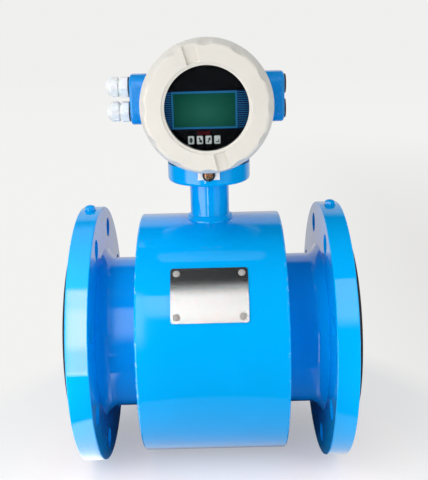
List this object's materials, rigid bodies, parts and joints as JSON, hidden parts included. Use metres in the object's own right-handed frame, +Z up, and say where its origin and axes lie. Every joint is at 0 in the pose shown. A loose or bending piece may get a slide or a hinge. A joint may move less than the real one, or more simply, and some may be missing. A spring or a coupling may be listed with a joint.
{
  "type": "electromagnetic flow meter",
  "caption": "Flanged electromagnetic flow meter with a lined tube, round coil housing and a two-cover display converter on a neck.",
  "frame": {"origin": "middle of the measuring tube's axis", "axes": "+X along the flow from inlet to outlet, +Z up the neck to the converter, display facing -Y"},
  "size_m": [0.303, 0.285, 0.4671],
  "materials": {
    "sensor_paint": "gloss azure enamel over welded steel",
    "housing_paint": "orange-peel deep blue powder coat on cast aluminium",
    "cover_paint": "cream powder coat on cast aluminium",
    "black_rubber": "moulded black rubber",
    "stainless_steel": "polished stainless steel",
    "ring_aluminium": "turned aluminium",
    "soft_iron": "mill-finished soft iron",
    "copper_winding": "enamelled copper wire",
    "white_nylon": "white moulded nylon",
    "black_plastic": "black moulded plastic",
    "brass": "plain brass",
    "zinc_plate": "bright zinc-plated steel",
    "dark_spring_steel": "blued spring steel",
    "window_glass": "clear toughened glass",
    "panel_film": "black printed film on aluminium",
    "lcd_glass": "blank green liquid-crystal display",
    "indicator_red": "dark red window",
    "button_grey": "pale grey moulded button",
    "circuit_board": "green glass-fibre board",
    "terminal_plastic": "green moulded plastic",
    "lead_jacket": "black cable jacket"
  },
  "bodies": {
    "root": {"board_spacers": "brass", "button_switches": "black_plastic", "coil_housing_shell": "sensor_paint", "converter_housing": "housing_paint", "converter_seat": "sensor_paint", "display_board": "circuit_board", "display_panel": "panel_film", "earth_spring_washer": "dark_spring_steel", "earth_terminal_plate": "zinc_plate", "earth_terminal_screw": "brass", "electrode_bushes": "black_plastic", "electrode_nuts": "stainless_steel", "flange_earth_bolts": "sensor_paint", "flange_earth_washers": "sensor_paint", "front_electrode": "stainless_steel", "gland_gaskets": "black_rubber", "indicator_window": "indicator_red", "inlet_end_plate": "sensor_paint", "inlet_flange": "sensor_paint", "inlet_liner_face": "black_rubber", "lcd_module": "lcd_glass", "lower_blanking_plug": "black_plastic", "lower_coil": "copper_winding", "lower_gland_body": "white_nylon", "lower_pole_shoe": "soft_iron", "magnetic_yoke": "soft_iron", "main_board": "circuit_board", "measuring_tube": "sensor_paint", "nameplate": "stainless_steel", "nameplate_rivets": "stainless_steel", "neck_pipe": "sensor_paint", "outlet_end_plate": "sensor_paint", "outlet_flange": "sensor_paint", "outlet_liner_face": "black_rubber", "rear_electrode": "stainless_steel", "seat_gasket": "black_rubber", "seat_screws": "stainless_steel", "sensor_lead": "lead_jacket", "terminal_block": "terminal_plastic", "terminal_clamp_screws": "brass", "tube_liner": "black_rubber", "upper_blanking_plug": "black_plastic", "upper_coil": "copper_winding", "upper_gland_body": "white_nylon", "upper_pole_shoe": "soft_iron"},
    "front_ring": {"front_cover_ring": "black_rubber"},
    "front_cover": {"front_cover": "cover_paint", "cover_window": "window_glass", "window_retaining_ring": "ring_aluminium"},
    "rear_ring": {"rear_cover_ring": "black_rubber"},
    "rear_cover": {"rear_cover": "cover_paint"},
    "upper_insert": {"upper_gland_insert": "black_rubber"},
    "upper_nut": {"upper_gland_nut": "white_nylon"},
    "lower_insert": {"lower_gland_insert": "black_rubber"},
    "lower_nut": {"lower_gland_nut": "white_nylon"},
    "function_button": {"function_button": "button_grey"},
    "down_button": {"down_button": "button_grey"},
    "up_button": {"up_button": "button_grey"},
    "enter_button": {"enter_button": "button_grey"}
  },
  "joints": [
    {"name": "front_cover_travel", "type": "slide", "parent": "root", "child": "front_ring", "axis": [0, -1, 0], "range_m": [0, 0.01]},
    {"name": "front_cover_screw", "type": "hinge", "parent": "front_ring", "child": "front_cover", "pos_m": [0, -0.06, 0.259], "axis": [0, -1, 0], "range_deg": [0, 1800]},
    {"name": "rear_cover_travel", "type": "slide", "parent": "root", "child": "rear_ring", "axis": [0, 1, 0], "range_m": [0, 0.01]},
    {"name": "rear_cover_screw", "type": "hinge", "parent": "rear_ring", "child": "rear_cover", "pos_m": [0, 0.06, 0.259], "axis": [0, 1, 0], "range_deg": [0, 1800]},
    {"name": "upper_nut_travel", "type": "slide", "parent": "root", "child": "upper_insert", "axis": [-1, 0, 0], "range_m": [0, 0.006]},
    {"name": "upper_nut_screw", "type": "hinge", "parent": "upper_insert", "child": "upper_nut", "pos_m": [-0.098, 0, 0.2746], "axis": [-1, 0, 0], "range_deg": [0, 1440]},
    {"name": "lower_nut_travel", "type": "slide", "parent": "root", "child": "lower_insert", "axis": [-1, 0, 0], "range_m": [0, 0.006]},
    {"name": "lower_nut_screw", "type": "hinge", "parent": "lower_insert", "child": "lower_nut", "pos_m": [-0.098, 0, 0.2492], "axis": [-1, 0, 0], "range_deg": [0, 1440]},
    {"name": "function_button_press", "type": "slide", "parent": "root", "child": "function_button", "axis": [0, 1, 0], "range_m": [0, 0.0006], "stiffness_N_per_m": 300},
    {"name": "down_button_press", "type": "slide", "parent": "root", "child": "down_button", "axis": [0, 1, 0], "range_m": [0, 0.0006], "stiffness_N_per_m": 300},
    {"name": "up_button_press", "type": "slide", "parent": "root", "child": "up_button", "axis": [0, 1, 0], "range_m": [0, 0.0006], "stiffness_N_per_m": 300},
    {"name": "enter_button_press", "type": "slide", "parent": "root", "child": "enter_button", "axis": [0, 1, 0], "range_m": [0, 0.0006], "stiffness_N_per_m": 300}
  ],
  "couplings": [
    {"joint": "front_cover_travel", "follows": "front_cover_screw", "m_per_rad": 0.0003183},
    {"joint": "rear_cover_travel", "follows": "rear_cover_screw", "m_per_rad": 0.0003183},
    {"joint": "upper_nut_screw", "follows": "upper_nut_travel", "rad_per_m": 4188.8},
    {"joint": "lower_nut_screw", "follows": "lower_nut_travel", "rad_per_m": 4188.8}
  ]
}
